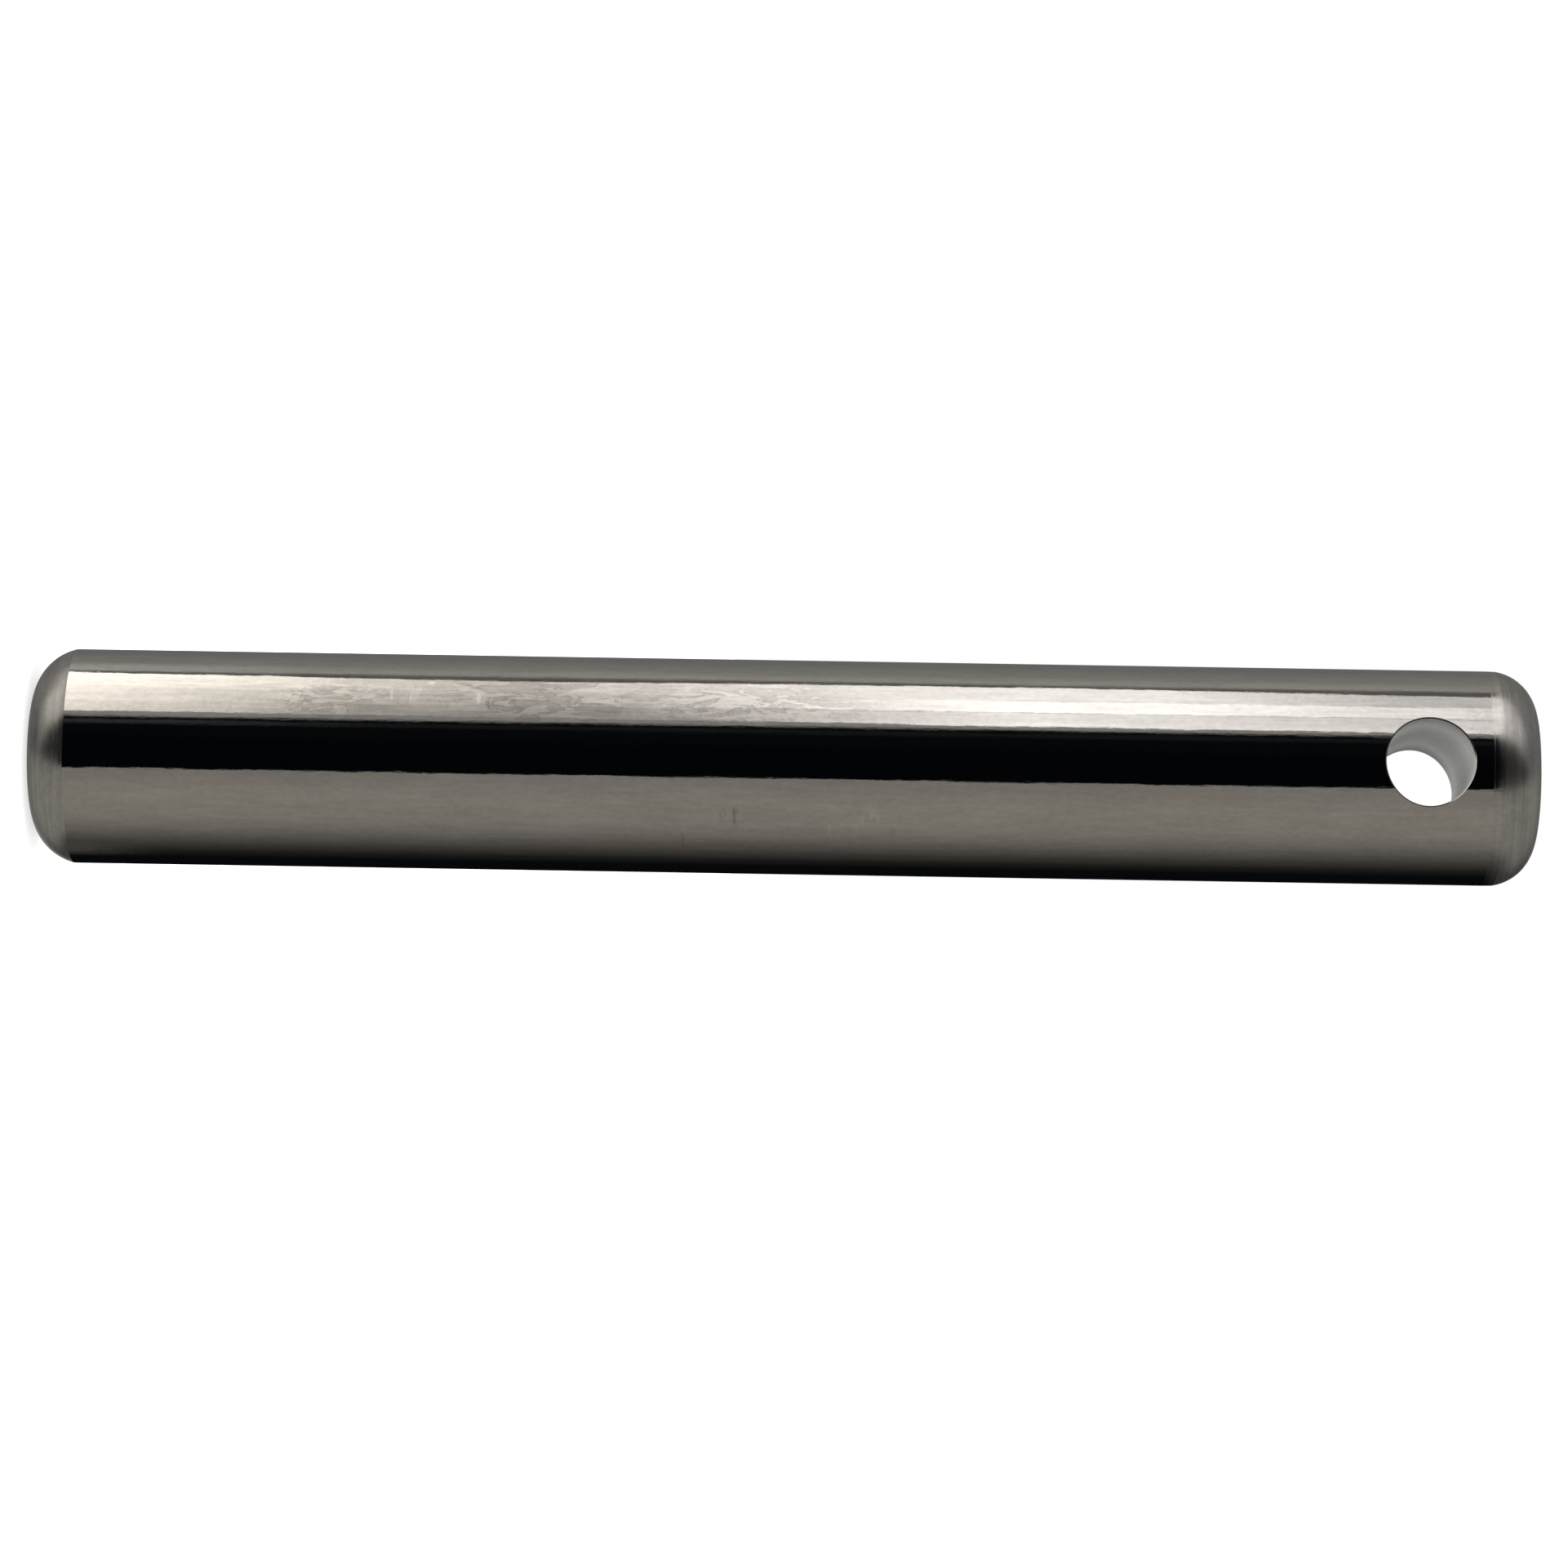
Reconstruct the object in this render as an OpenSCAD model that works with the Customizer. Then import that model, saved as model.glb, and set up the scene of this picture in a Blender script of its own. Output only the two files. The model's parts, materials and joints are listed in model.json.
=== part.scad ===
// Axle pin: a ground steel shank with rounded, turned ends and one hole drilled across it.
// The pin stands on its plain end. The origin is the centre of that face, +Z runs along the
// pin to the drilled end, and the hole's axis lies along Y.

/* [Shank] */
// Length over both end faces
pin_length = 177.8; // [100:0.1:300]
// Ground diameter, which runs in the wheel's or pulley's bore
shank_d = 25.4; // [20:0.1:40]

/* [Rounded ends] */
// Radius turned on the rim of the plain end
plain_end_radius = 6.35; // [3:0.05:8]
// Radius turned on the rim of the drilled end
drilled_end_radius = 5.7; // [3:0.1:8]
// Depth, on the radius, that grinding took off after the plain end was turned
plain_end_stock = 0.16; // [0:0.01:0.5]
// The same depth at the drilled end
drilled_end_stock = 0.03; // [0:0.01:0.5]

/* [Lead-in] */
// Length over which the ground surface rolls off before the drilled end's radius
lead_in_length = 0.9; // [0.2:0.1:4]
// Slope of that roll-off, in degrees
lead_in_angle = 1.5; // [0.5:0.1:5]

/* [Cross hole] */
// Diameter of the hole, a clearance size for a retaining bolt or split pin
hole_d = 10.32; // [3:0.01:14]
// Distance from the drilled end's face to the hole's centre line
hole_from_end = 13.49; // [10:0.01:60]

/* [Hidden] */
$fn = 128;

steel = [0.62, 0.61, 0.58];
// How far a cutting shape reaches past the metal that it cuts
overcut = 1;

shank_r = shank_d / 2;
// Where the drilled end's turned curve reaches the ground surface, measured from its face
drilled_end_reach = turned_reach(drilled_end_radius, drilled_end_stock);
lead_in_start = pin_length - drilled_end_reach - lead_in_length;
hole_height = pin_length - hole_from_end;

// Length of an end's turned curve along the pin, from the face to where the curve comes out
// of the ground surface, for a curve that first stood proud of that surface by the stock.
function turned_reach(radius, stock) = radius - sqrt(radius ^ 2 - (radius - stock) ^ 2);

// What the lathe takes off one rim of the bar, as a half section: the bar's face is on the
// X axis and its side on the Y axis. Its metal lies towards -X, and up or down from its face.
module rim_waste(radius, up = true) {
    difference() {
        translate([-radius, up ? -overcut : -radius])
            square([radius + overcut, radius + overcut]);
        translate([-radius, up ? radius : -radius])
            circle(r = radius);
    }
}

// What rolls off the ground surface before the drilled end's curve, as a half section
module lead_in_waste() {
    run = drilled_end_reach + lead_in_length + overcut;
    translate([shank_r, lead_in_start])
        polygon([[0, 0], [overcut, 0], [overcut, run], [-run * tan(lead_in_angle), run]]);
}

// The pin's half section, which turns about the Y axis: distance from the axis along X,
// distance from the plain end's face along Y.
module pin_section() {
    difference() {
        square([shank_r, pin_length]);
        translate([shank_r + plain_end_stock, 0])
            rim_waste(plain_end_radius);
        translate([shank_r + drilled_end_stock, pin_length])
            rim_waste(drilled_end_radius, up = false);
        lead_in_waste();
    }
}

module cross_hole() {
    translate([0, 0, hole_height])
        rotate([90, 0, 0])
            cylinder(h = shank_d + 2 * overcut, d = hole_d, center = true);
}

module axle_pin() {
    color(steel)
        difference() {
            rotate_extrude()
                pin_section();
            cross_hole();
        }
}

axle_pin();
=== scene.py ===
"""Looks of a steel axle pin: a ground, mirror-bright shank, turned ends and a drilled cross hole."""

from __future__ import annotations

import json
import logging
import math
from dataclasses import dataclass
from dataclasses import field
from enum import Enum
from functools import reduce

import bpy
import numpy as np
from mathutils import Matrix
from mathutils import Vector


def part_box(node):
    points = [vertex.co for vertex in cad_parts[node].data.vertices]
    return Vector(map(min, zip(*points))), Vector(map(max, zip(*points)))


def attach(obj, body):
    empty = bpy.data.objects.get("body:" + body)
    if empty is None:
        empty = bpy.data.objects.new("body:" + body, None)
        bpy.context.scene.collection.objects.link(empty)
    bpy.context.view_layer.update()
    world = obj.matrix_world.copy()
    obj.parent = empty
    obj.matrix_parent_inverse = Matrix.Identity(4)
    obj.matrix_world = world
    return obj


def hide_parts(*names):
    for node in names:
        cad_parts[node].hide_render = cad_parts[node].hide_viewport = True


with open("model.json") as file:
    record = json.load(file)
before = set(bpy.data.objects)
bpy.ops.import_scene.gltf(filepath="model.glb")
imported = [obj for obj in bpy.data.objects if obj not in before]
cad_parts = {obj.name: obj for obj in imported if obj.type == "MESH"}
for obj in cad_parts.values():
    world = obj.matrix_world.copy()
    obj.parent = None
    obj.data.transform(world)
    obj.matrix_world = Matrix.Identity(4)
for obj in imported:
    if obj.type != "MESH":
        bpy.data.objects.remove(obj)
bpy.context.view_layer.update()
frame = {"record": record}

MM = 0.001
# Corners closer than this are one vertex, in metres
WELD = 1e-7
# Range that a noise mostly stays in
NOISE_RANGE = (0.3, 0.7)
Socket = bpy.types.NodeSocket

log = logging.getLogger("axle_pin")


class Finish(Enum):
    """The pin's machined surfaces, numbered as the material slots of its mesh."""

    GROUND = 0
    TURNED = 1
    DRILLED = 2


def trio(x: np.ndarray, y: np.ndarray, z: np.ndarray) -> np.ndarray:
    """Joins three arrays of one shape into points or vectors."""
    return np.stack([x, y, z], axis=-1)


@dataclass
class Sheet:
    """A grid of skin with its exact normals.

    Attributes:
        points: Places of the grid's corners, as rows by columns by 3, in metres.
        normals: Unit vectors that point out of the metal, in the same form.
        finish: The machined surface that the sheet shows.
        closed: Whether the last column joins the first.
    """

    points: np.ndarray
    normals: np.ndarray
    finish: Finish
    closed: bool = True

    def cells(self, first: int) -> np.ndarray:
        """Lists the grid's cells, each wound so that it faces the way of its normals.

        Args:
            first: The number that the sheet's first corner has in the whole skin.

        Returns:
            Four corner numbers for each cell.
        """
        rows, columns = self.points.shape[:2]
        index = np.arange(rows * columns).reshape(rows, columns)
        if self.closed:
            index = np.hstack([index, index[:, :1]])
        cells = np.stack(
            [index[:-1, :-1], index[:-1, 1:], index[1:, 1:], index[1:, :-1]], axis=-1
        ).reshape(-1, 4)
        corners = self.points.reshape(-1, 3)[cells]
        facing = np.cross(corners[:, 2] - corners[:, 0], corners[:, 3] - corners[:, 1])
        wanted = self.normals.reshape(-1, 3)[cells].sum(axis=1)
        turned_round = (facing * wanted).sum(axis=1) < 0
        cells[turned_round] = cells[turned_round, ::-1]
        return cells + first


@dataclass(frozen=True)
class RoundedEnd:
    """One end of the pin: a quarter-round rim, turned before the shank was ground.

    The rim's curve first stood proud of the ground surface by the stock, so it comes out of that
    surface at a slight corner. Angles are measured from the radial direction towards the face.

    Attributes:
        radius: Radius of the turned curve.
        stock: Depth that grinding took off afterwards, on the radius.
        taper: Slope of the ground surface where the curve begins, in radians.
        taper_length: Length of that sloping stretch.
    """

    radius: float
    stock: float
    taper: float = 0.0
    taper_length: float = 0.0

    def flat_radius(self, shank_radius: float) -> float:
        """Returns the radius of the flat face inside the curve."""
        return shank_radius + self.stock - self.radius

    def taper_depth(self) -> float:
        """Returns how far from the face the sloping stretch begins."""
        reach = self.radius - math.sqrt(self.radius**2 - (self.radius - self.stock) ** 2)
        return reach + self.taper_length

    def first_angle(self, shank_radius: float) -> float:
        """Works out where the curve leaves the ground surface.

        A point of the curve at angle a has the radius flat + radius cos a and the depth
        radius - radius sin a. Setting that radius equal to the sloping surface's gives
        cos(a - taper), and so the angle.

        Args:
            shank_radius: Radius of the ground shank.

        Returns:
            The angle at which the curve begins.
        """
        run = self.taper_depth() - self.radius
        rise = shank_radius - self.flat_radius(shank_radius) - run * math.tan(self.taper)
        return self.taper + math.acos(rise * math.cos(self.taper) / self.radius)

    def curve(self, shank_radius: float, steps: int) -> tuple[np.ndarray, ...]:
        """Lays out the curve from the ground surface to the flat face.

        Args:
            shank_radius: Radius of the ground shank.
            steps: How many steps the curve is laid out in.

        Returns:
            Each point's radius, its depth from the face, and its normal's radial and endward parts.
        """
        angle = np.linspace(self.first_angle(shank_radius), math.pi / 2, steps + 1)
        radii = self.flat_radius(shank_radius) + self.radius * np.cos(angle)
        depths = self.radius - self.radius * np.sin(angle)
        return radii, depths, np.cos(angle), np.sin(angle)


@dataclass
class AxlePin:
    """The pin as one closed skin over its ground shank, turned ends and drilled hole.

    Attributes:
        length: Length over both faces.
        shank_radius: Radius of the ground shank.
        hole_radius: Radius of the cross hole.
        hole_height: Height of the hole's centre line over the plain face.
        plain_end: The end that the pin stands on.
        drilled_end: The end beside the hole.
        edge_break: Width of the broken edge at each mouth of the hole.
        columns: Columns of skin round the pin.
        window_half: Half the width, in columns, of the square of skin round each mouth.
        window_rings: Rings of skin between a mouth and its square.
        crowding: Power by which those rings crowd towards the mouth.
        shank_rows: Rows of skin along the shank's plain stretch.
        curve_steps: Rows of skin along an end's curve.
        face_rings: Circles of corners on a flat face, with its centre point.
        bore_rows: Rows of skin along the hole's wall.
        lip_steps: Rows of skin across a broken edge.
        sheets: The sheets of skin made so far.
    """

    length: float
    shank_radius: float
    hole_radius: float
    hole_height: float
    plain_end: RoundedEnd = RoundedEnd(radius=6.35 * MM, stock=0.16 * MM)
    drilled_end: RoundedEnd = RoundedEnd(
        radius=5.7 * MM, stock=0.03 * MM, taper=math.radians(1.5), taper_length=0.9 * MM
    )
    edge_break: float = 0.15 * MM
    columns: int = 360
    window_half: int = 32
    window_rings: int = 12
    crowding: float = 1.5
    shank_rows: int = 24
    curve_steps: int = 28
    face_rings: int = 5
    bore_rows: int = 24
    lip_steps: int = 4
    sheets: list[Sheet] = field(default_factory=list)

    @classmethod
    def from_frame(cls) -> AxlePin:
        """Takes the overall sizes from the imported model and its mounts."""
        low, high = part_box("axle_pin")
        mounts = {mount["name"]: mount for mount in frame["record"]["mounts"]}
        hole = mounts["cross_hole"]
        return cls(
            length=high.z - low.z,
            shank_radius=mounts["shank"]["dims"]["r_mm"] * MM,
            hole_radius=hole["dims"]["r_mm"] * MM,
            hole_height=hole["pos_m"][2],
        )

    @property
    def column_angle(self) -> float:
        """The angle between two columns, in radians."""
        return 2 * math.pi / self.columns

    @property
    def window_height(self) -> float:
        """Half the height of the square of skin round each mouth."""
        return self.shank_radius * self.column_angle * self.window_half

    def revolve(
        self,
        radii: np.ndarray | float,
        heights: np.ndarray | float,
        outward: np.ndarray | float,
        upward: np.ndarray | float,
        finish: Finish,
        span: tuple[int, int] | None = None,
    ) -> None:
        """Turns a profile about the pin's axis: (r cos t, r sin t, z) for each r, z and angle t.

        Args:
            radii: Distances from the axis along the profile, or one for all of it, as below.
            heights: Heights along the profile.
            outward: Radial part of each point's normal.
            upward: Part of each point's normal along the axis.
            finish: The machined surface.
            span: First and last column, or None for the whole way round.
        """
        first, last = span or (0, self.columns - 1)
        angle = np.arange(first, last + 1) * self.column_angle
        round_x, round_y, level = np.cos(angle), np.sin(angle), np.ones_like(angle)
        radii, heights, outward, upward = np.broadcast_arrays(radii, heights, outward, upward)
        points = trio(np.outer(radii, round_x), np.outer(radii, round_y), np.outer(heights, level))
        normals = trio(np.outer(outward, round_x), np.outer(outward, round_y), np.outer(upward, level))
        self.sheets.append(Sheet(points, normals, finish, closed=span is None))

    def add_face(self, end: RoundedEnd, height: float, up: float) -> None:
        """Adds an end: its turned curve and its flat face, down to the centre point.

        Args:
            end: The end's sizes.
            height: Height of its face.
            up: 1 for the upper end and -1 for the lower one.
        """
        radii, depths, outward, endward = end.curve(self.shank_radius, self.curve_steps)
        self.revolve(radii, height - up * depths, outward, up * endward, Finish.TURNED)
        rings = end.flat_radius(self.shank_radius) * np.linspace(1, 0, self.face_rings)
        self.revolve(rings, height, 0.0, up, Finish.TURNED)

    def add_shank(self) -> None:
        """Adds the ground surface: plain stretches, and the columns between the two windows."""
        radius, half = self.shank_radius, self.window_height
        curve_start = self.plain_end.taper_depth()
        slope_start = self.length - self.drilled_end.taper_depth()
        below = np.linspace(curve_start, self.hole_height - half, self.shank_rows + 1)
        above = np.array([self.hole_height + half, slope_start])
        for heights in (below, above):
            self.revolve(radius, heights, 1.0, 0.0, Finish.GROUND)
        beside = self.hole_height + np.linspace(-half, half, 2 * self.window_half + 1)
        quarter = self.columns // 4
        for middle in (0, 2 * quarter):
            edge = quarter - self.window_half
            span = (middle - edge, middle + edge)
            self.revolve(radius, beside, 1.0, 0.0, Finish.GROUND, span)
        end_radii, depths, _, _ = self.drilled_end.curve(radius, 1)
        slope = np.array([slope_start, self.length - depths[0]])
        taper = self.drilled_end.taper
        radii = np.array([radius, end_radii[0]])
        self.revolve(radii, slope, math.cos(taper), math.sin(taper), Finish.GROUND)

    def window_outline(self) -> tuple[np.ndarray, ...]:
        """Walks round the window's square, one column or row at a time.

        Returns:
            For each corner of the outline, its steps across and steps up from the hole's centre
            line, and the cosine and sine of its direction.
        """
        half = self.window_half
        walk = np.arange(8 * half)
        side, along = walk // (2 * half), walk % (2 * half)
        across = np.choose(side, [half + 0 * along, half - along, -half + 0 * along, along - half])
        up = np.choose(side, [along - half, half + 0 * along, half - along, -half + 0 * along])
        around = np.arctan2(up, across)
        return across, up, np.cos(around), np.sin(around)

    def mouth(self, cosine: np.ndarray, radius: float) -> np.ndarray:
        """Distance from the hole's middle to the shank's surface, sqrt(R^2 - (r cos a)^2)."""
        return np.sqrt(self.shank_radius**2 - (radius * cosine) ** 2)

    def add_window(self, side: float) -> None:
        """Adds the skin round one mouth, and the mouth's broken edge.

        The window is a blend, laid on the shank's cylinder, from the mouth's curve to the square
        of columns and rows round it. The broken edge is a quadratic curve from the shank to the
        wall of the hole, with the sharp corner as its middle point.

        Args:
            side: -1 for the mouth at -Y and 1 for the one at +Y.
        """
        radius, hole = self.shank_radius, self.hole_radius
        across, up, cosine, sine = self.window_outline()
        wide = hole + self.edge_break
        blend = np.linspace(0, 1, self.window_rings + 1)[:, None] ** self.crowding
        turn = (1 - blend) * np.arcsin(wide * cosine / radius) + blend * across * self.column_angle
        rise = (1 - blend) * wide * sine + blend * up * self.window_height / self.window_half
        skin = trio(radius * np.sin(turn), side * radius * np.cos(turn), self.hole_height + rise)
        out = trio(np.sin(turn), side * np.cos(turn), 0 * turn)
        self.sheets.append(Sheet(skin, out, Finish.GROUND))
        corner = trio(hole * cosine, side * self.mouth(cosine, hole), self.hole_height + hole * sine)
        wall = corner - np.array([0, side * self.edge_break, 0])
        inward = trio(-cosine, 0 * cosine, -sine)
        step = np.linspace(0, 1, self.lip_steps + 1)[:, None, None]
        lip = (1 - step) ** 2 * skin[0] + 2 * step * (1 - step) * corner + step**2 * wall
        lean = (1 - step) * out[0] + step * inward
        lean /= np.linalg.norm(lean, axis=-1, keepdims=True)
        self.sheets.append(Sheet(lip, lean, Finish.DRILLED))

    def add_bore(self) -> None:
        """Adds the wall of the hole: straight lines along Y from one mouth to the other."""
        _, _, cosine, sine = self.window_outline()
        half = self.mouth(cosine, self.hole_radius) - self.edge_break
        along = np.linspace(-1, 1, self.bore_rows + 1)[:, None]
        level = np.ones_like(along)
        radius = self.hole_radius * level
        wall = trio(radius * cosine, along * half, self.hole_height + radius * sine)
        inward = trio(-level * cosine, 0 * along * cosine, -level * sine)
        self.sheets.append(Sheet(wall, inward, Finish.DRILLED))

    def build(self) -> bpy.types.Object:
        """Joins the sheets into one closed mesh with the exact normals at every corner.

        Returns:
            The pin's object, at the origin.
        """
        self.add_face(self.plain_end, 0.0, -1)
        self.add_face(self.drilled_end, self.length, 1)
        self.add_shank()
        for side in (-1, 1):
            self.add_window(side)
        self.add_bore()
        points = np.concatenate([sheet.points.reshape(-1, 3) for sheet in self.sheets])
        normals = np.concatenate([sheet.normals.reshape(-1, 3) for sheet in self.sheets])
        firsts = np.cumsum([0] + [sheet.points[..., 0].size for sheet in self.sheets[:-1]])
        cells = [sheet.cells(first) for sheet, first in zip(self.sheets, firsts)]
        finishes = np.repeat([sheet.finish.value for sheet in self.sheets], [len(c) for c in cells])
        cells = np.concatenate(cells)
        _, keep, welded = np.unique(
            np.round(points / WELD + 0.25), axis=0, return_index=True, return_inverse=True
        )
        faces = welded.reshape(-1)[cells]
        distinct = faces != np.roll(faces, 1, axis=1)
        whole = distinct.all(axis=1)
        three = np.argsort(~distinct[~whole], axis=1, kind="stable")[:, :3]
        three.sort(axis=1)
        corner_faces = np.take_along_axis(faces[~whole], three, axis=1)
        corner_cells = np.take_along_axis(cells[~whole], three, axis=1)
        mesh = bpy.data.meshes.new("ground_axle_pin")
        mesh.from_pydata(points[keep].tolist(), [], faces[whole].tolist() + corner_faces.tolist())
        mesh.polygons.foreach_set("material_index", np.concatenate([finishes[whole], finishes[~whole]]))
        mesh.shade_smooth()
        corners = np.concatenate([cells[whole].reshape(-1), corner_cells.reshape(-1)])
        mesh.normals_split_custom_set(normals[corners].tolist())
        mesh.update()
        pin = bpy.data.objects.new("ground_axle_pin", mesh)
        bpy.context.scene.collection.objects.link(pin)
        return pin

    def dress(self, pin: bpy.types.Object, finishes: dict[Finish, MetalFinish]) -> None:
        """Gives the mesh its three finishes, in the order of the slots."""
        for finish in Finish:
            pin.data.materials.append(finishes[finish].material())


class Desk:
    """A node tree with short ways to add nodes and join them."""

    def __init__(self, tree: bpy.types.NodeTree) -> None:
        """Clears the tree and keeps it."""
        self.tree = tree
        tree.nodes.clear()

    def put(self, value: object, socket: Socket) -> None:
        """Joins a socket to another one, or sets it to a value."""
        if isinstance(value, Socket):
            self.tree.links.new(value, socket)
        else:
            socket.default_value = value

    def node(self, kind: str, settings: dict | None = None, **inputs: object) -> bpy.types.Node:
        """Adds a node.

        Args:
            kind: The node's type, without the words ShaderNode.
            settings: Its properties.
            inputs: Its input sockets by name, with underscores for spaces, or by number after an n.

        Returns:
            The node.
        """
        made = self.tree.nodes.new("ShaderNode" + kind)
        for name, value in (settings or {}).items():
            setattr(made, name, value)
        for name, value in inputs.items():
            key = int(name[1:]) if name[1:].isdigit() else name.replace("_", " ")
            self.put(value, made.inputs[key])
        return made

    def math(self, operation: str, *values: object) -> Socket:
        """Adds a Math node and returns its result."""
        inputs = {f"n{number}": value for number, value in enumerate(values)}
        return self.node("Math", {"operation": operation}, **inputs).outputs[0]

    def times(self, *values: object) -> Socket:
        """Multiplies two or more values."""
        return reduce(lambda one, other: self.math("MULTIPLY", one, other), values)

    def plus(self, *values: object) -> Socket:
        """Adds up two or more values."""
        return reduce(lambda one, other: self.math("ADD", one, other), values)

    def off(self, value: Socket, line: float) -> Socket:
        """Returns how far a value is from a line."""
        return self.math("ABSOLUTE", self.math("SUBTRACT", value, line))

    def vector(self, x: object, y: object, z: object = 0.0) -> Socket:
        """Joins three values into a vector."""
        return self.node("CombineXYZ", n0=x, n1=y, n2=z).outputs[0]

    def scaled(self, colour: object, share: object) -> Socket:
        """Returns a colour made lighter or darker."""
        return self.node("VectorMath", {"operation": "SCALE"}, n0=colour, Scale=share).outputs[0]

    def dot(self, one: object, other: object) -> Socket:
        """Returns how far one vector reaches the way of another."""
        return self.node("VectorMath", {"operation": "DOT_PRODUCT"}, n0=one, n1=other).outputs["Value"]

    def length(self, vector: Socket) -> Socket:
        """Returns a vector's length."""
        return self.node("VectorMath", {"operation": "LENGTH"}, n0=vector).outputs["Value"]

    def bump(self, height: Socket, depth: float, under: Socket | None = None) -> Socket:
        """Makes a surface uneven by a depth in metres, on top of the unevenness under it."""
        laid_on = {} if under is None else {"Normal": under}
        return self.node("Bump", Height=height, Distance=depth, Strength=1.0, **laid_on).outputs[0]

    def remap(self, value: Socket, *ends: float, soft: bool = True) -> Socket:
        """Maps a range of values onto another one, held at its ends.

        Args:
            value: The socket that is mapped.
            ends: Low and high value, and what they become.
            soft: Whether the ends are eased.

        Returns:
            The mapped value.
        """
        kind = {"interpolation_type": "SMOOTHSTEP" if soft else "LINEAR"}
        low, high, to_low, to_high = ends
        return self.node(
            "MapRange", kind, Value=value, From_Min=low, From_Max=high, To_Min=to_low, To_Max=to_high
        ).outputs[0]

    def band(self, value: Socket, starts: float, full: float, fades: float, ends: float) -> Socket:
        """Rises from nothing to one between two values, and falls again between two others."""
        return self.times(self.remap(value, starts, full, 0.0, 1.0), self.remap(value, fades, ends, 1.0, 0.0))

    def spread(self, noise: Socket, low: float, high: float) -> Socket:
        """Spreads a noise's usual range over another one."""
        return self.remap(noise, *NOISE_RANGE, low, high, soft=False)

    def noise(
        self, vector: Socket, stretch: tuple[float, ...] | float, detail: float, warp: float = 0.0
    ) -> Socket:
        """Adds a noise whose grains have a size of their own along each axis.

        Args:
            vector: The coordinates.
            stretch: Grains for each metre along X, Y and Z, or one number for all three.
            detail: Octaves of finer grain.
            warp: How far the grains are drawn out of shape.

        Returns:
            The noise, around a half.
        """
        scale = stretch if isinstance(stretch, tuple) else (stretch,) * 3
        placed = self.node("Mapping", {"vector_type": "POINT"}, Vector=vector, Scale=scale)
        grain = self.node("TexNoise", Vector=placed.outputs[0], Scale=1.0, Detail=detail, Distortion=warp)
        return grain.outputs[0]

    def over(self, below: object, above: object, share: Socket) -> Socket:
        """Lays one colour over another.

        Args:
            below: The colour underneath.
            above: The colour on top.
            share: How much of the upper one shows, from 0 to 1.

        Returns:
            The mixed colour.
        """
        mixed = self.node("Mix", {"data_type": "VECTOR"}, Factor=share)
        self.put(below, mixed.inputs[4])
        self.put(above, mixed.inputs[5])
        return mixed.outputs[1]

    def ramp(self, value: Socket, stops: list[tuple[float, tuple[float, ...]]]) -> Socket:
        """Adds a colour ramp.

        Args:
            value: The place on the ramp, from 0 to 1.
            stops: Each stop's place and its colour.

        Returns:
            The colour.
        """
        node = self.node("ValToRGB", n0=value)
        elements = node.color_ramp.elements
        while len(elements) < len(stops):
            elements.new(1.0)
        for element, (place, colour) in zip(elements, stops):
            element.position = place
            element.color = (*colour, 1.0)
        return node.outputs[0]


@dataclass(frozen=True)
class MetalFinish:
    """What the finishes share.

    Attributes:
        name: The material's name.
        colour: The steel's reflectance.
        roughness: Roughness between the marks.
    """

    name: str
    colour: tuple[float, float, float] = (0.62, 0.61, 0.58)
    roughness: float = 0.03

    def material(self) -> bpy.types.Material:
        """Makes the material: bare steel, with the marks that the finish leaves."""
        made = bpy.data.materials.new(self.name)
        made.use_nodes = True
        desk = Desk(made.node_tree)
        steel = desk.node("BsdfPrincipled", Metallic=1.0)
        out = desk.node("OutputMaterial")
        desk.put(steel.outputs[0], out.inputs[0])
        place = desk.node("TexCoord").outputs["Object"]
        self.mark(desk, steel, place)
        return made

    def tinted(self, desk: Desk, shade: Socket) -> Socket:
        """Returns the steel's colour, lightened or darkened by a shade around one."""
        return desk.scaled(self.colour, shade)

    def from_axis(self, desk: Desk, place: Socket) -> Socket:
        """Returns the distance from the pin's axis, the length of the X and Y parts."""
        flat = desk.node("VectorMath", {"operation": "MULTIPLY"}, n0=place, n1=(1.0, 1.0, 0.0))
        return desk.length(flat.outputs[0])

    def mark(self, desk: Desk, steel: bpy.types.Node, place: Socket) -> None:
        """Adds the finish's own marks."""
        raise NotImplementedError


@dataclass(frozen=True)
class Scuff:
    """A patch of faint marks that run round the shank, left by handling.

    Attributes:
        height: Height of its middle over the plain face.
        turn: Its middle's angle about the axis, in degrees from +X towards +Y.
        long: Half its size along the pin.
        wide: Half its size round the pin.
        shine: How much lighter its marks are than the steel round them, or darker if negative.
        broken: Whether it is a group of separate marks rather than one mark.
        slant: Angle by which it leans from the pin's axis, in degrees.
        fade: Shares of its size at which it begins to fade and is gone.
    """

    height: float
    turn: float
    long: float
    wide: float
    shine: float = 0.25
    broken: bool = True
    slant: float = 0.0
    fade: tuple[float, float] = (0.3, 1.15)

    def mask(self, desk: Desk, place: Socket, radius: float) -> Socket:
        """Builds a soft spot: one in the middle, and nothing a little beyond its sizes.

        Args:
            desk: The material's nodes.
            place: The coordinates.
            radius: The shank's radius.

        Returns:
            The spot's weight.
        """
        angle = math.radians(self.turn)
        outward = Vector((math.cos(angle), math.sin(angle), 0.0))
        middle = radius * outward + Vector((0.0, 0.0, self.height))
        lean = Matrix.Rotation(math.radians(self.slant), 3, outward).to_euler()
        size = (self.wide, self.wide, self.long)
        near = desk.node(
            "Mapping", {"vector_type": "TEXTURE"}, Vector=place, Location=middle, Rotation=lean, Scale=size
        )
        return desk.remap(desk.length(near.outputs[0]), *self.fade, 1.0, 0.0)


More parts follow.
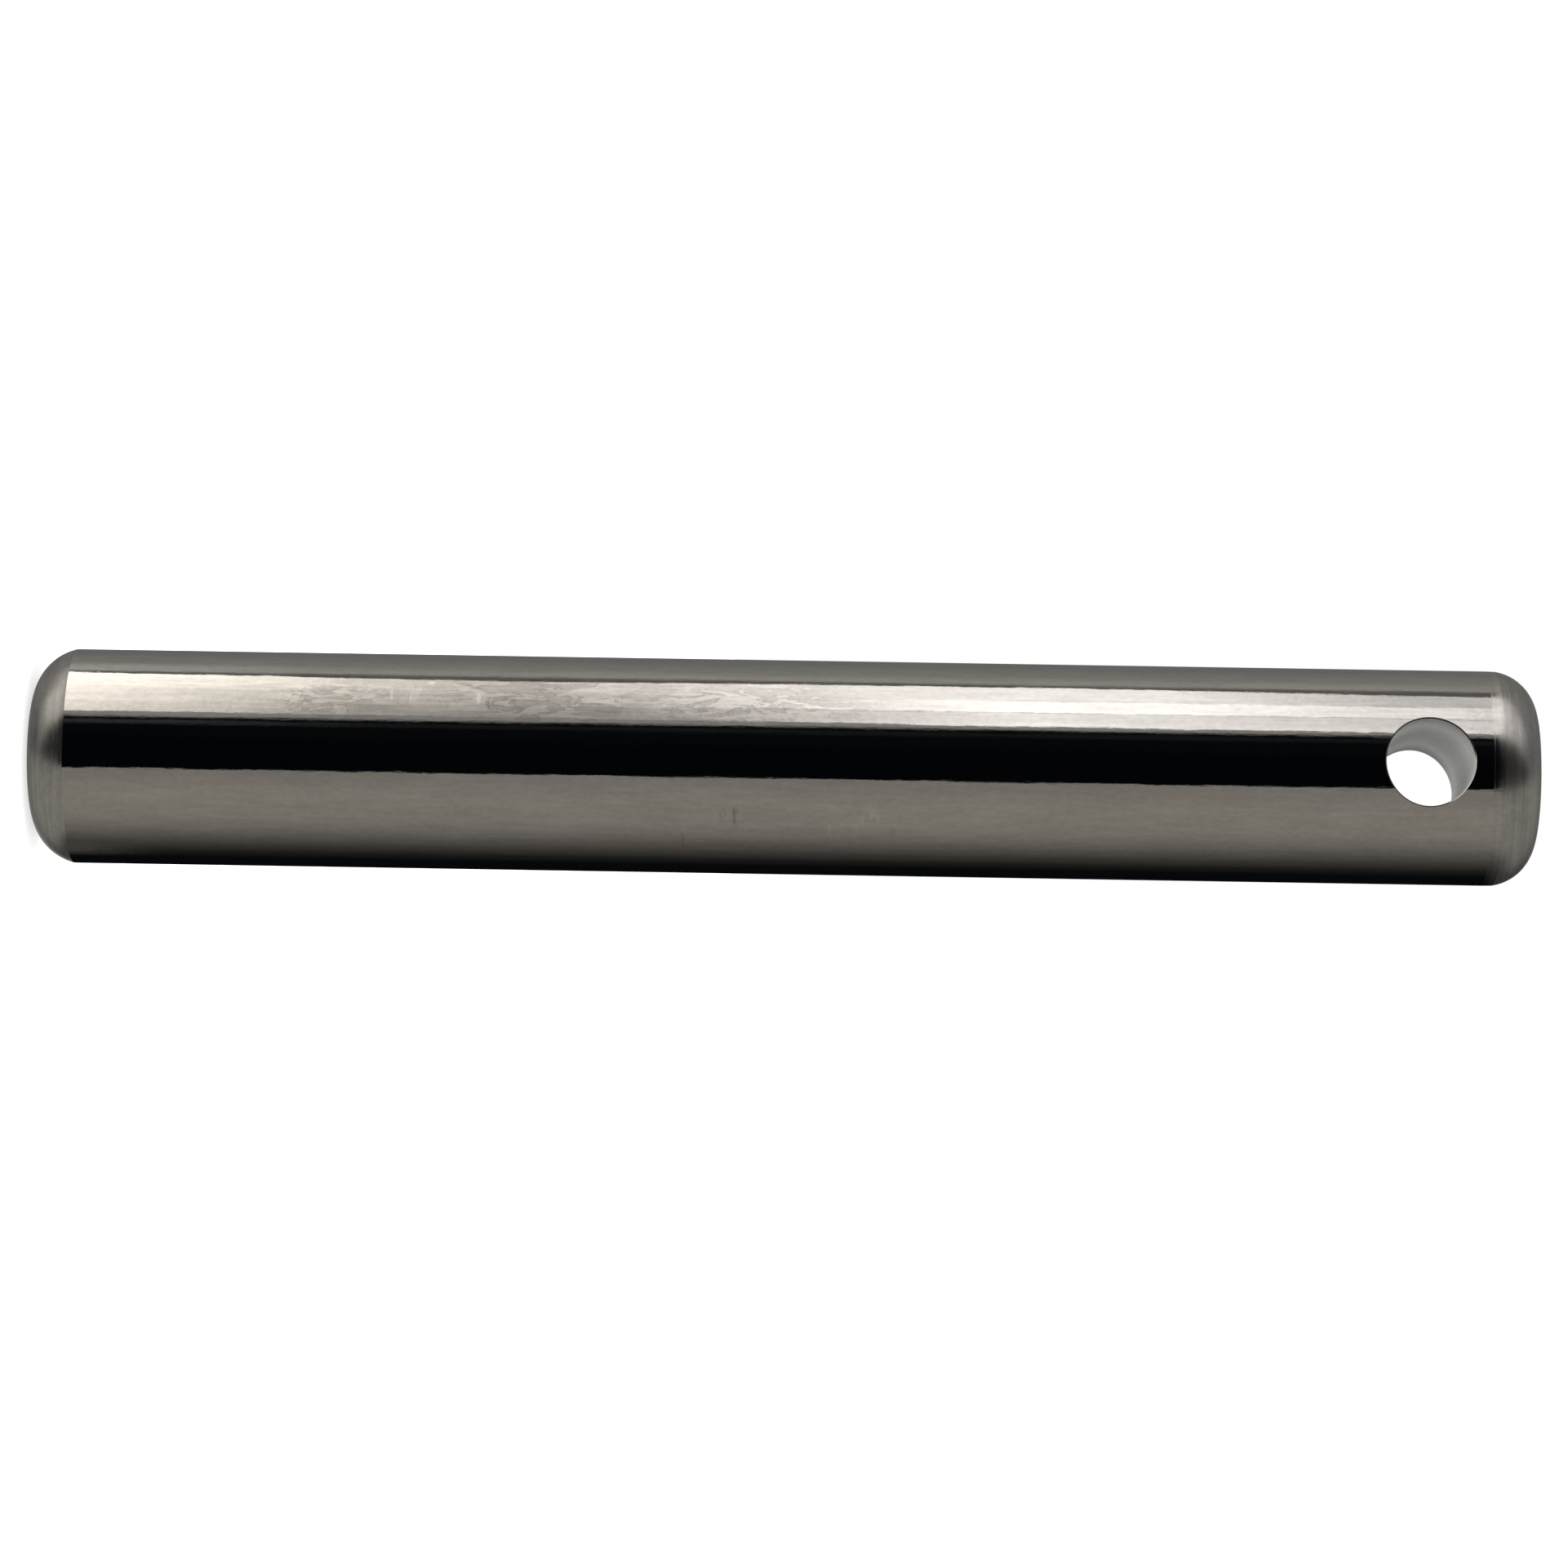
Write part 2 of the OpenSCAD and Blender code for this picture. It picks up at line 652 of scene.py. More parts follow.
@dataclass(frozen=True)
class GroundFinish(MetalFinish):
    """Ground and polished: a mirror with fine ripples along the pin, faint mottling and scuffs.

    Attributes:
        radius: The shank's radius.
        roll_off: Heights between which the mirror turns satin beside the drilled end.
        satin: Roughness that it turns to.
        run_out: Height of the fine line where the wheel ran out.
        highlight_line: Height of a painted highlight beside it, a line of lighter colour.
        haze: Roughness that a smudge adds.
        ripple: Height of the ripples that the wheel left.
        pebble: Height of the finer unevenness between them.
        dent: Height of a scuff's marks.
        ripple_grain: Ripples for each metre along X, Y and Z.
        pebble_grain: The finer unevenness, in the same form, as are the five below.
        mottle_grain: The fine mottling.
        cloud_grain: The broad mottling.
        smudge_grain: The smudges.
        smear_grain: The web of wipe marks.
        tick_grain: The separate marks in a scuff.
        scuffs: The patches of marks.
        wipes_and_painted_highlight: Patches with a web of fine wipe marks.
    """

    radius: float = 12.7 * MM
    roll_off: tuple[float, float] = (171.2 * MM, 172.9 * MM)
    satin: float = 0.26
    run_out: float = 171.75 * MM
    highlight_line: float = 172.45 * MM
    haze: float = 0.03
    ripple: float = 0.007 * MM
    pebble: float = 0.0025 * MM
    dent: float = 0.003 * MM
    ripple_grain: tuple[float, ...] = (1500, 1500, 170)
    pebble_grain: tuple[float, ...] = (2400, 2400, 1200)
    mottle_grain: tuple[float, ...] = (2000, 2000, 1000)
    cloud_grain: tuple[float, ...] = (260, 260, 90)
    smudge_grain: tuple[float, ...] = (420, 420, 160)
    smear_grain: tuple[float, ...] = (800, 800, 250)
    tick_grain: tuple[float, ...] = (420, 420, 2300)
    wipes_and_painted_highlight: tuple[Scuff, ...] = (
        Scuff(61.0 * MM, -118.5, 15.0 * MM, 4.2 * MM),
        Scuff(85.0 * MM, -117.0, 16.0 * MM, 3.6 * MM),
        Scuff(36.0 * MM, -115.0, 9.0 * MM, 3.0 * MM),
        Scuff(120.0 * MM, 60.0, 22.0 * MM, 5.0 * MM),
        Scuff(50.0 * MM, 150.0, 18.0 * MM, 5.0 * MM),
    )
    scuffs: tuple[Scuff, ...] = (
        Scuff(46.5 * MM, -119.0, 2.6 * MM, 1.6 * MM, 0.12),
        Scuff(43.1 * MM, -118.5, 0.24 * MM, 1.0 * MM, 0.24, broken=False, slant=4.0),
        Scuff(45.4 * MM, -116.0, 0.20 * MM, 0.8 * MM, 0.28, broken=False, slant=-5.0),
        Scuff(47.7 * MM, -127.5, 0.6 * MM, 0.45 * MM, 0.30, broken=False),
        Scuff(53.3 * MM, -117.0, 0.32 * MM, 1.0 * MM, 0.36, broken=False),
        Scuff(54.5 * MM, -112.5, 0.20 * MM, 0.6 * MM, -0.20, broken=False),
        Scuff(52.1 * MM, -125.7, 2.6 * MM, 0.20 * MM, -0.28, broken=False, slant=-18.0),
        Scuff(82.9 * MM, -53.2, 2.0 * MM, 1.8 * MM, -0.30),
        Scuff(77.4 * MM, -37.8, 0.20 * MM, 1.1 * MM, -0.20, broken=False),
        Scuff(95.0 * MM, -45.1, 0.9 * MM, 1.8 * MM, 0.20),
        Scuff(99.7 * MM, -51.7, 3.2 * MM, 2.2 * MM, 0.22),
        Scuff(101.0 * MM, -48.0, 1.8 * MM, 1.6 * MM, -0.18),
        Scuff(61.0 * MM, 78.0, 2.4 * MM, 1.8 * MM, -0.25),
        Scuff(132.0 * MM, 160.0, 1.8 * MM, 1.5 * MM, 0.25),
        Scuff(30.0 * MM, 21.0, 2.2 * MM, 1.6 * MM, 0.25),
    )

    def mark(self, desk: Desk, steel: bpy.types.Node, place: Socket) -> None:
        """Adds ripples to the surface, mottling to the colour, and smudges and scuffs to both."""
        height = desk.node("SeparateXYZ", n0=place).outputs[2]
        ticks = desk.remap(desk.noise(place, self.tick_grain, 2.0), 0.5, 0.66, 0.0, 1.0)
        marks, scuffed = 0.0, 0.0
        for scuff in self.scuffs:
            spot = scuff.mask(desk, place, self.radius)
            if scuff.broken:
                spot = desk.times(spot, ticks)
            marks = desk.math("MULTIPLY_ADD", spot, scuff.shine, marks)
            scuffed = desk.math("MAXIMUM", spot, scuffed)
        smudge = desk.remap(desk.noise(place, self.smudge_grain, 4.0), 0.45, 0.75, 0.0, self.haze)
        satin = desk.remap(height, *self.roll_off, self.roughness, self.satin)
        line = desk.remap(desk.off(height, self.run_out), 0.0, 0.14 * MM, 0.15, 0.0)
        rough = desk.plus(satin, line, smudge, desk.times(scuffed, 0.02))
        desk.put(rough, steel.inputs["Roughness"])
        wave = desk.noise(place, self.ripple_grain, 2.0)
        mottle = desk.spread(desk.noise(place, self.mottle_grain, 2.0), 0.945, 1.055)
        cloud = desk.spread(desk.noise(place, self.cloud_grain, 3.0), 1.03, 0.97)
        even = desk.times(mottle, cloud, desk.spread(wave, 0.95, 1.05))
        # A wiped film is darker or lighter than bare steel, with a dark rim where the two meet
        smear = desk.noise(place, self.smear_grain, 4.0, warp=1.2)
        film_and_painted_shade = desk.remap(smear, 0.45, 0.55, -0.11, 0.13)
        film_and_painted_shade = desk.plus(film_and_painted_shade, desk.remap(desk.off(smear, 0.49), 0.0, 0.045, -0.25, 0.0))
        wiped = desk.times(film_and_painted_shade, self.patches(desk, place, self.wipes_and_painted_highlight))
        # Painted highlight: a line of lighter colour beside the run-out line, standing in for a brighter
        # reflection
        bright = desk.remap(desk.off(height, self.highlight_line), 0.1 * MM, 0.35 * MM, 0.09, 0.0)
        shade = desk.plus(marks, even, desk.plus(wiped, bright))
        desk.put(self.tinted(desk, shade), steel.inputs["Base Color"])
        ripples = desk.bump(wave, self.ripple)
        pebbles = desk.bump(desk.noise(place, self.pebble_grain, 2.0), self.pebble, ripples)
        desk.put(desk.bump(marks, self.dent, pebbles), steel.inputs["Normal"])

    def patches(self, desk: Desk, place: Socket, spots: tuple[Scuff, ...]) -> Socket:
        """Joins the masks of several patches into one, the strongest at each place."""
        joined = spots[0].mask(desk, place, self.radius)
        for spot in spots[1:]:
            joined = desk.math("MAXIMUM", joined, spot.mask(desk, place, self.radius))
        return joined


@dataclass(frozen=True)
class TurnedFinish(MetalFinish):
    """Left as turned: satin steel with fine rings round the pin's axis.

    Attributes:
        lap: Height of the plain end's corner, beside which the curve is a little smoother.
        lap_width: How far down the curve that goes.
        lap_polish: How much less rough it is there.
        fine_rings: Fine rings for each metre across them.
        broad_rings: Broad rings for each metre.
        drift: How much the rings change from side to side.
        blotches: Broad blotches for each metre.
        specks: Specks for each metre.
        groove: Depth of the rings.
        brushed: How much more the rings blur a reflection across them than along them.
    """

    roughness: float = 0.3
    lap: float = 4.93 * MM
    lap_width: float = 1.3 * MM
    lap_polish: float = 0.12
    fine_rings: float = 4800
    broad_rings: float = 1600
    drift: float = 0.03
    blotches: float = 420
    specks: float = 1500
    groove: float = 0.002 * MM
    brushed: float = 0.5

    def mark(self, desk: Desk, steel: bpy.types.Node, place: Socket) -> None:
        """Adds the tool's rings, which depend on the distance from the axis and the height alone."""
        parts = desk.node("SeparateXYZ", n0=place).outputs
        ring = desk.vector(self.from_axis(desk, place), parts[2], desk.times(parts[0], self.drift))
        fine = desk.noise(ring, self.fine_rings, 2.0)
        broad = desk.noise(ring, self.broad_rings, 2.0)
        blotch = desk.spread(desk.noise(place, self.blotches, 3.0), 0.94, 1.06)
        speck = desk.spread(desk.noise(place, self.specks, 3.0), 0.93, 1.07)
        shade = desk.times(desk.spread(broad, 0.86, 1.11), blotch, speck)
        desk.put(self.tinted(desk, shade), steel.inputs["Base Color"])
        rough = desk.spread(fine, self.roughness - 0.05, self.roughness + 0.06)
        polished = desk.remap(parts[2], self.lap - self.lap_width, self.lap, 0.0, -self.lap_polish)
        polished = desk.times(polished, desk.math("LESS_THAN", parts[2], 2 * self.lap))
        desk.put(desk.plus(rough, polished), steel.inputs["Roughness"])
        height = desk.plus(fine, desk.times(broad, 2.0))
        desk.put(desk.bump(height, self.groove), steel.inputs["Normal"])
        steel.inputs["Anisotropic"].default_value = self.brushed
        steel.inputs["Anisotropic Rotation"].default_value = 0.25
        tangent = desk.node("Tangent", {"direction_type": "RADIAL", "axis": "Z"})
        desk.put(tangent.outputs[0], steel.inputs["Tangent"])


@dataclass(frozen=True)
class DrilledFinish(MetalFinish):
    """Left as drilled: matte grey steel with the drill's rings, and painted shade and a painted highlight
    along the mouths.

    Attributes:
        metallic: How metallic the torn surface still is.
        mouth_radius: Distance from the pin's axis beyond which the painted shade along the mouths' edges
            begins.
        edge_shade: What is left of the steel's colour in the painted shade, a dark line along the mouths'
            edges.
        film_and_painted_shade: What the painted shade near the mouths leaves of it on the -X side, where it
            is darkest.
        mouth_shade_lit_side: What the painted shade leaves of it on the other side.
        mouth_shade_across: Places along X between which the painted shade lightens.
        mouth_shade_from: Distance from the pin's axis at which the painted shade begins.
        lit_edge_way: Direction of the stretch of the mouths' edges that a painted highlight lightens.
        lit_edge_from: How far that way the painted highlight begins and is full.
        wipes_and_painted_highlight: What is left of the steel's colour there.
        ring_grain: Drill rings for each metre along X, Y and Z.
        torn: Grains of the torn surface for each metre.
        groove: Depth of the drill's rings.
        sheen: Level of the dull part's own reflection.
    """

    colour: tuple[float, float, float] = (0.775, 0.775, 0.76)
    roughness: float = 0.4
    metallic: float = 0.12
    mouth_radius: float = 12.5 * MM
    edge_shade: float = 0.05
    film_and_painted_shade: float = 0.46
    mouth_shade_lit_side: float = 0.90
    mouth_shade_across: tuple[float, float] = (-4.5 * MM, 1.0 * MM)
    mouth_shade_from: float = 7.5 * MM
    lit_edge_way: tuple[float, float, float] = (0.454, 0.0, 0.891)
    lit_edge_from: tuple[float, float] = (150.3 * MM, 151.1 * MM)
    wipes_and_painted_highlight: float = 0.75
    ring_grain: tuple[float, ...] = (300, 3600, 300)
    torn: float = 2200
    groove: float = 0.001 * MM
    sheen: float = 0.15

    def mark(self, desk: Desk, steel: bpy.types.Node, place: Socket) -> None:
        """Adds the drill's rings, which are narrow along Y, and the painted shade and highlight near and
        along the mouths.
        """
        rings = desk.noise(place, self.ring_grain, 2.0)
        out = self.from_axis(desk, place)
        # Painted shade and highlight: the mouths' edges darken to a thin dark line, and one stretch of them
        # is painted lighter
        left = desk.remap(desk.dot(place, self.lit_edge_way), *self.lit_edge_from, self.edge_shade, self.wipes_and_painted_highlight)
        edge = desk.remap(out, self.mouth_radius - 0.1 * MM, self.mouth_radius, 1.0, left)
        # Painted shade: the wall is darker near the mouths, most on the -X side and lighter towards +X
        sideways = desk.node("SeparateXYZ", n0=place).outputs[0]
        side_shade = desk.remap(sideways, *self.mouth_shade_across, self.film_and_painted_shade, self.mouth_shade_lit_side)
        mouth_shade = desk.remap(out, self.mouth_shade_from, self.mouth_radius, 1.0, side_shade)
        grain = desk.spread(desk.noise(place, self.torn, 3.0), 0.93, 1.07)
        shade = desk.times(desk.spread(rings, 0.95, 1.05), edge, mouth_shade, grain)
        desk.put(self.tinted(desk, shade), steel.inputs["Base Color"])
        steel.inputs["Roughness"].default_value = self.roughness
        steel.inputs["Metallic"].default_value = self.metallic
        steel.inputs["Specular IOR Level"].default_value = self.sheen
        desk.put(desk.bump(rings, self.groove), steel.inputs["Normal"])


@dataclass(frozen=True)
class Tube:
    """One of the softbox's three tubes.

    Attributes:
        low: Angle of its lower edge, in degrees.
        high: Angle of its upper edge.
        run: Stops of rise and strength along the pin, from the plain end to the drilled one.
    """

    low: float
    high: float
    run: tuple[tuple[float, float], ...]


@dataclass(frozen=True)
class Card:
    """A soft-edged card in the room.

    Attributes:
        angles: Where it begins, is full, begins to fade and ends, as angles about the pin.
        rises: The same four places along the pin.
        light: Its light.
    """

    angles: tuple[float, float, float, float]
    rises: tuple[float, float, float, float]
    light: tuple[float, float, float]


@dataclass(frozen=True)
class Studio:
    """The room that the shank mirrors, the white floor and the camera.

    The room is a set of tall cards round the pin. A card's place is its angle about the pin's
    axis in degrees, from the camera's side, positive towards the picture's upper edge. Along
    the pin the place is the rise, the upward part of the direction.

    Attributes:
        stand: Where the camera stands, in metres.
        aim: The point in the middle of the picture.
        lens: Focal length for a sensor 36 mm wide.
        slope: Angle by which the pin slopes down to the right in the picture, in degrees.
        boards: Each stop's angle and its light, on the pale boards and the dark between them.
        flag: Lower and upper edge of the black flag beside the camera, each with its softness.
        lower_tube: The softbox's lowest tube.
        middle_tube: The one over it.
        upper_tube: The top one.
        fade_run: Share of all three that is left far up or down.
        cards: Smaller cards over the boards.
        warm: Colour of the softbox's light towards the plain end.
        cool: Its colour towards the drilled end.
        table: Light of the table beyond both ends.
        wall: Light of the walls beyond both ends.
        corner: Light of the dim corners behind them.
        backdrop: Light of the backdrop behind the pin.
        floor_glow: Share of the floor's white that no shadow takes away.
        paper: Colour of the floor.
        floor_reach: How far the floor goes each way, in metres.
        floor_drop: Height of the floor, just under the plain face.
        lamp_size: Width of the lamp over the pin, in metres.
        lamp_power: Its power, in watts.
        lamp_height: Its height, in metres.
        softbox_middle: Angle of the softbox's middle.
        weave: Degrees of cloth that are as wide as one unit of rise.
    """

    stand: tuple[float, float, float] = (0.1042, -0.6469, 0.0963)
    aim: tuple[float, float, float] = (0.0020, 0.0, 0.0890)
    lens: float = 126.8
    slope: float = 0.93
    boards: tuple = (
        (-180, (0.002, 0.002, 0.003)),
        (-133, (0.003, 0.004, 0.005)),
        (-120, (0.0165, 0.0165, 0.016)),
        (-107, (0.057, 0.054, 0.049)),
        (-91, (0.138, 0.128, 0.118)),
        (-77, (0.225, 0.208, 0.190)),
        (-65, (0.275, 0.255, 0.228)),
        (-40, (0.295, 0.276, 0.246)),
        (-20, (0.258, 0.240, 0.220)),
        (-13, (0.245, 0.232, 0.218)),
        (50, (0.300, 0.290, 0.280)),
        (102, (0.130, 0.125, 0.115)),
        (104.6, (0.160, 0.152, 0.140)),
        (106, (0.280, 0.270, 0.250)),
        (108.5, (0.360, 0.350, 0.325)),
        (112, (0.340, 0.335, 0.308)),
        (121, (0.262, 0.258, 0.238)),
        (145, (0.185, 0.182, 0.178)),
        (180, (0.120, 0.120, 0.122)),
    )
    flag: tuple[float, float, float, float] = (-12.2, 0.8, 44.6, 2.4)
    lower_tube: Tube = Tube(
        49.9,
        65.5,
        (
            (-0.15, 1.60), (-0.13, 1.23), (-0.116, 1.10), (-0.10, 0.78), (-0.087, 0.59),
            (-0.06, 0.49), (-0.043, 0.50), (-0.013, 0.81), (0.03, 1.38), (0.10, 1.00),
            (0.112, 1.07), (0.116, 0.88), (0.15, 1.10),
        ),
    )
    middle_tube: Tube = Tube(
        65.9,
        81.4,
        (
            (-0.15, 1.58), (-0.13, 1.37), (-0.116, 1.15), (-0.10, 0.92), (-0.087, 0.81),
            (-0.06, 0.63), (-0.043, 0.73), (-0.013, 1.14), (0.002, 1.38), (0.03, 1.78),
            (0.06, 1.70), (0.076, 1.52), (0.09, 1.27), (0.112, 1.22), (0.116, 1.02),
            (0.15, 1.30),
        ),
    )
    upper_tube: Tube = Tube(
        81.0,
        101.5,
        (
            (-0.15, 1.80), (-0.10, 1.22), (-0.087, 0.97), (-0.06, 0.73), (-0.043, 0.90),
            (-0.01, 1.32), (0.03, 1.44), (0.06, 1.36), (0.10, 0.79), (0.115, 0.74),
            (0.15, 1.00),
        ),
    )
    fade_run: tuple[tuple[float, float], ...] = (
        (-1.0, 0.12), (-0.97, 0.14), (-0.80, 0.46), (-0.62, 0.34), (-0.50, 0.26),
        (-0.35, 0.34), (-0.15, 1.0), (0.16, 1.0), (0.30, 0.88), (0.50, 0.58),
        (0.80, 0.46), (0.97, 0.15), (1.0, 0.12),
    )
    cards: tuple[Card, ...] = (
        Card((105, 107, 110, 124), (-1.1, -1.0, -0.135, -0.085), (0.44, 0.43, 0.40)),
        Card((-172, -152, -110, -86), (-0.60, -0.36, -0.165, -0.143), (0.065, 0.063, 0.060)),
        Card((-138, -118, -108, -98), (-0.30, -0.20, -0.143, -0.122), (0.078, 0.076, 0.072)),
        Card((-176, -164, -112, -76), (0.125, 0.18, 0.24, 0.74), (0.042, 0.042, 0.041)),
        Card((-178, -172, -166, -160), (-0.46, -0.36, -0.23, -0.18), (0.45, 0.44, 0.42)),
    )
    warm: tuple[float, float, float] = (1.0, 0.935, 0.870)
    cool: tuple[float, float, float] = (1.0, 0.960, 0.950)
    table: tuple[float, float, float] = (0.265, 0.253, 0.235)
    wall: tuple[float, float, float] = (0.20, 0.195, 0.185)
    corner: tuple[float, float, float] = (0.085, 0.085, 0.088)
    backdrop: tuple[float, float, float] = (0.17, 0.165, 0.16)
    floor_glow: float = 0.6
    paper: float = 0.85
    floor_reach: float = 4.0
    floor_drop: float = -0.02 * MM
    lamp_size: float = 0.8
    lamp_power: float = 6.0
    lamp_height: float = 1.2
    softbox_middle: float = 75.0
    weave: float = 400.0

    def add_camera(self) -> None:
        """Sets the camera up at the photograph's angle: the pin lies across the picture."""
        ahead = (Vector(self.aim) - Vector(self.stand)).normalized()
        axis = Vector((0, 0, 1))
        along = (axis - axis.dot(ahead) * ahead).normalized()
        above = (-ahead).cross(along)
        turn = math.radians(self.slope)
        right = math.cos(turn) * along + math.sin(turn) * above
        up = math.cos(turn) * above - math.sin(turn) * along
        columns = Matrix((right, up, -ahead)).transposed()
        data = bpy.data.cameras.new("camera")
        data.sensor_width = 36.0
        data.lens = self.lens
        data.clip_start = 0.01
        camera = bpy.data.objects.new("camera", data)
        camera.matrix_world = Matrix.Translation(self.stand) @ columns.to_4x4()
        bpy.context.scene.collection.objects.link(camera)
        bpy.context.scene.camera = camera

    def round_the_pin(self, desk: Desk, ray: Socket) -> Socket:
        """Works out a direction's angle about the pin from its parts towards and across the camera.

        Args:
            desk: The world's nodes.
            ray: The direction.

        Returns:
            The angle in degrees, atan2 of the part across and the part towards.
        """
        side = math.atan2(self.stand[1], self.stand[0])
        towards = (math.cos(side), math.sin(side), 0.0)
        across = (math.sin(side), -math.cos(side), 0.0)
        return desk.math("DEGREES", desk.math("ARCTAN2", desk.dot(ray, across), desk.dot(ray, towards)))

    def strength(self, desk: Desk, rise: Socket, run: tuple) -> Socket:
        """Looks a strength up along a run of stops, with straight lines between them."""
        low, high, most = run[0][0], run[-1][0], 2.0
        span = desk.remap(rise, low, high, 0.0, 1.0, soft=False)
        stops = [((place - low) / (high - low), (glow / most,) * 3) for place, glow in run]
        return desk.times(desk.ramp(span, stops), most)

    def cloth(self, desk: Desk, angle: Socket, rise: Socket) -> Socket:
        """Returns coordinates on the cloth of the flag and the softbox."""
        return desk.vector(angle, desk.times(rise, self.weave))

    def lay_softbox(self, desk: Desk, below: Socket, angle: Socket, rise: Socket) -> Socket:
        """Lays the softbox's three tubes over the boards.

        A tube's strength is its run, stronger towards the upper edge at the plain end, and varied
        by the folds of the softbox's cloth. The outer edges draw in where the softbox is weak, and
        the tubes run into each other towards the plain end.

        Args:
            desk: The world's nodes.
            below: The light of the boards.
            angle: Angle about the pin.
            rise: Upward part of the direction.

        Returns:
            The light of both.
        """
        lower = self.strength(desk, rise, self.lower_tube.run)
        middle = self.strength(desk, rise, self.middle_tube.run)
        upper = self.strength(desk, rise, self.upper_tube.run)
        woven = desk.noise(self.cloth(desk, angle, rise), (0.3, 0.25, 1.0), 4.0)
        depth = desk.remap(lower, 0.5, 1.3, 0.9, 0.35, soft=False)
        folds = desk.math("MULTIPLY_ADD", desk.math("SUBTRACT", woven, 0.5), depth, 1.0)
        lean = desk.remap(rise, -0.1, 0.03, 0.006, 0.0, soft=False)
        leaning = desk.math("MULTIPLY_ADD", desk.math("SUBTRACT", angle, self.softbox_middle), lean, 1.0)
        gain = desk.times(self.strength(desk, rise, self.fade_run), folds, leaning)
        colour = desk.over(self.warm, self.cool, desk.remap(rise, -0.09, 0.05, 0.0, 1.0))
        lower_edge = desk.plus(angle, desk.remap(rise, 0.004, 0.014, 0.0, 1.1))
        weak = desk.remap(upper, 0.8, 1.5, 3.2, 0.0, soft=False)
        plain_bulge = desk.remap(rise, -0.145, -0.128, -1.4, 0.0)
        drilled_dip = desk.remap(rise, 0.0, 0.06, -0.15, 0.2)
        upper_edge = desk.plus(angle, desk.plus(weak, plain_bulge, drilled_dip))
        crisp, melted = 0.8, 5.0
        blend = desk.remap(rise, -0.07, -0.01, melted, crisp)
        overlap = desk.math("SUBTRACT", angle, desk.math("SUBTRACT", blend, crisp))
        dulled = desk.remap(angle, 52.0, 65.0, 0.93, 1.08, soft=False)
        edged = desk.remap(lower_edge, 52.0, 56.0, 1.07, 0.98)
        share = desk.remap(rise, -0.03, 0.0, 0.0, 1.0)
        rim = desk.plus(dulled, desk.times(share, desk.math("SUBTRACT", edged, dulled)))
        tubes = (
            (desk.times(lower, rim), lower_edge, overlap, crisp, self.lower_tube),
            (middle, angle, overlap, blend, self.middle_tube),
            (upper, angle, upper_edge, blend, self.upper_tube),
        )
        for run, from_angle, to_angle, soft, tube in tubes:
            light = desk.scaled(colour, desk.times(run, gain))
            offset = desk.math("DIVIDE", desk.math("SUBTRACT", from_angle, tube.low), soft)
            rising = desk.remap(offset, -1.0, 1.0, 0.0, 1.0)
            falling = desk.remap(to_angle, tube.high - 1.0, tube.high + 1.0, 1.0, 0.0)
            below = desk.over(below, light, desk.times(rising, falling))
        return below

    def lay_flag(self, desk: Desk, below: Socket, angle: Socket, rise: Socket) -> Socket:
        """Hangs the black flag over the boards, with the dull fold along its upper edge.

        Args:
            desk: The world's nodes.
            below: The light of the boards.
            angle: Angle about the pin.
            rise: Upward part of the direction.

        Returns:
            The light of both.
        """
        low, low_soft, high, high_soft = self.flag
        hung = desk.band(angle, low - low_soft, low + low_soft, high - high_soft, high + high_soft)
        reaches = desk.remap(desk.math("ABSOLUTE", rise), 0.25, 0.7, 1.0, 0.86)
        velvet = desk.scaled((0.75, 1.0, 1.4), desk.remap(angle, 15, 30, 0.0018, 0.0032))
        threads = desk.noise(self.cloth(desk, angle, rise), (0.5, 0.7, 1.0), 4.0)
        ragged = desk.remap(threads, 0.35, 0.65, 0.45, 1.5, soft=False)
        faded = desk.remap(rise, -0.13, -0.075, 0.032, 0.008)
        dull = desk.times(desk.band(angle, 34, 38.5, 39.5, 42), faded, ragged)
        fold = desk.vector(dull, dull, dull)
        cloth = desk.node("VectorMath", {"operation": "ADD"}, n0=velvet, n1=fold).outputs[0]
        return desk.over(below, cloth, desk.times(hung, reaches))

    def add_room(self) -> None:
        """Makes the world: metal mirrors the cards, and the camera and matte surfaces see plain white."""
        world = bpy.data.worlds.new("room")
        world.cycles.sampling_method = "NONE"
        world.use_nodes = True
        bpy.context.scene.world = world
        desk = Desk(world.node_tree)
        ray = desk.node("TexCoord").outputs["Generated"]
        angle = self.round_the_pin(desk, ray)
        rise = desk.node("SeparateXYZ", n0=ray).outputs[2]
        steep = desk.math("ABSOLUTE", rise)
        turn = desk.remap(angle, -180, 180, 0.0, 1.0, soft=False)
        boards = desk.ramp(turn, [((place + 180) / 360, light) for place, light in self.boards])
        above = desk.remap(angle, -14, 4, 0.0, 1.0)
        beyond = desk.over(self.table, self.wall, above)
        room = desk.over(boards, beyond, desk.remap(steep, 0.142, 0.25, 0.0, 1.0))
        behind = desk.remap(desk.math("ABSOLUTE", angle), 130, 155, 0.0, 1.0)
        raised = desk.band(steep, 0.15, 0.22, 0.65, 0.8)
        room = desk.over(room, self.backdrop, desk.times(behind, raised))
        dim = desk.scaled(self.corner, desk.remap(rise, -0.5, 0.5, 1.0, 1.7))
        room = desk.over(room, dim, desk.times(above, desk.remap(steep, 0.66, 0.9, 0.0, 1.0)))
        room = self.lay_flag(desk, room, angle, rise)
        for card in self.cards:
            share = desk.times(desk.band(angle, *card.angles), desk.band(rise, *card.rises))
            room = desk.over(room, card.light, share)
        room = self.lay_softbox(desk, room, angle, rise)
        mirrored = desk.node("Background", Color=room, Strength=1.0)
        white = desk.node("Background", Color=(1, 1, 1, 1), Strength=1.0)
        path = desk.node("LightPath").outputs
        plain = desk.math("MAXIMUM", path["Is Camera Ray"], path["Is Diffuse Ray"])
        mixed = desk.node("MixShader", n0=plain, n1=mirrored.outputs[0], n2=white.outputs[0])
        out = desk.node("OutputWorld")
        desk.put(mixed.outputs[0], out.inputs[0])

